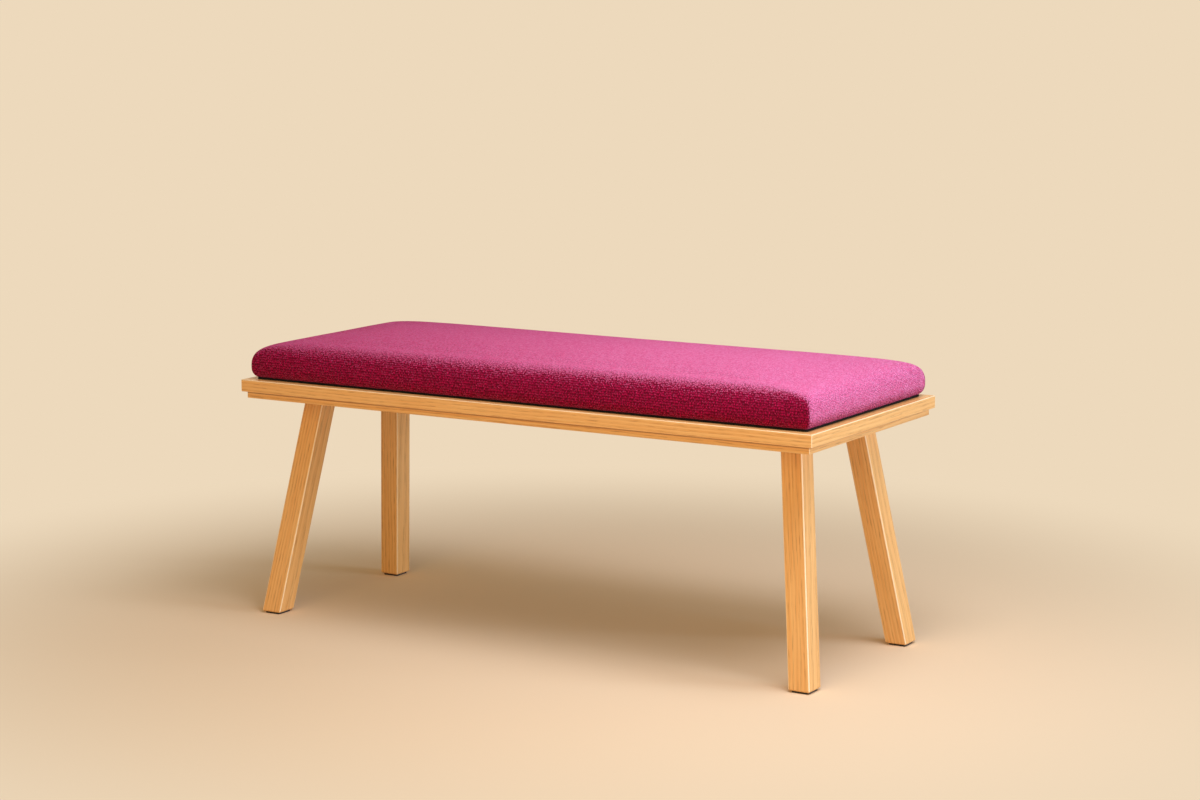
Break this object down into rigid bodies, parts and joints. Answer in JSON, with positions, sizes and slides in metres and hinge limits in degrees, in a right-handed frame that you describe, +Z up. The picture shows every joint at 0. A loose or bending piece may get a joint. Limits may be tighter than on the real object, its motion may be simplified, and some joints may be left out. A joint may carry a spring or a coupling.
{
  "type": "hall bench",
  "caption": "Upholstered hall bench: a crowned wool-covered seat on a stepped ash frame with splayed square legs.",
  "frame": {"origin": "on the floor, under the centre of the bench", "axes": "X along the bench, Y from its front (-Y) to its back (+Y), Z up"},
  "size_m": [1.05, 0.434, 0.4699],
  "materials": {
    "ash": "clear satin lacquer, fine straight grain",
    "beech": "plain",
    "birch_ply": "sanded",
    "zinc_steel": "bright zinc plating",
    "staple_steel": "galvanised wire",
    "wool_cover": "woven wool, matt",
    "black_cloth": "spun-bonded cloth, matt",
    "foam": "open-cell foam",
    "wadding": "polyester fibre",
    "black_felt": "matt"
  },
  "bodies": {
    "root": {"upper_rail_front": "ash", "upper_rail_right": "ash", "upper_rail_back": "ash", "upper_rail_left": "ash", "lower_rail_front": "ash", "lower_rail_right": "ash", "lower_rail_back": "ash", "lower_rail_left": "ash", "leg_front_left": "ash", "leg_front_right": "ash", "leg_back_left": "ash", "leg_back_right": "ash", "leg_bearer_left": "ash", "leg_bearer_right": "ash", "centre_rail": "ash", "bearer_dowels": "beech", "leg_wedges": "beech", "mitre_splines": "birch_ply", "frame_screws": "zinc_steel", "seat_bolts": "zinc_steel", "seat_washers": "zinc_steel", "tee_nuts": "zinc_steel", "cover_staples": "staple_steel", "dust_cover_staples": "staple_steel", "seat_board": "birch_ply", "seat_foam": "foam", "seat_wadding": "wadding", "seat_cover": "wool_cover", "dust_cover": "black_cloth", "foot_pad_front_left": "black_felt", "foot_pad_front_right": "black_felt", "foot_pad_back_left": "black_felt", "foot_pad_back_right": "black_felt"}
  },
  "joints": []
}
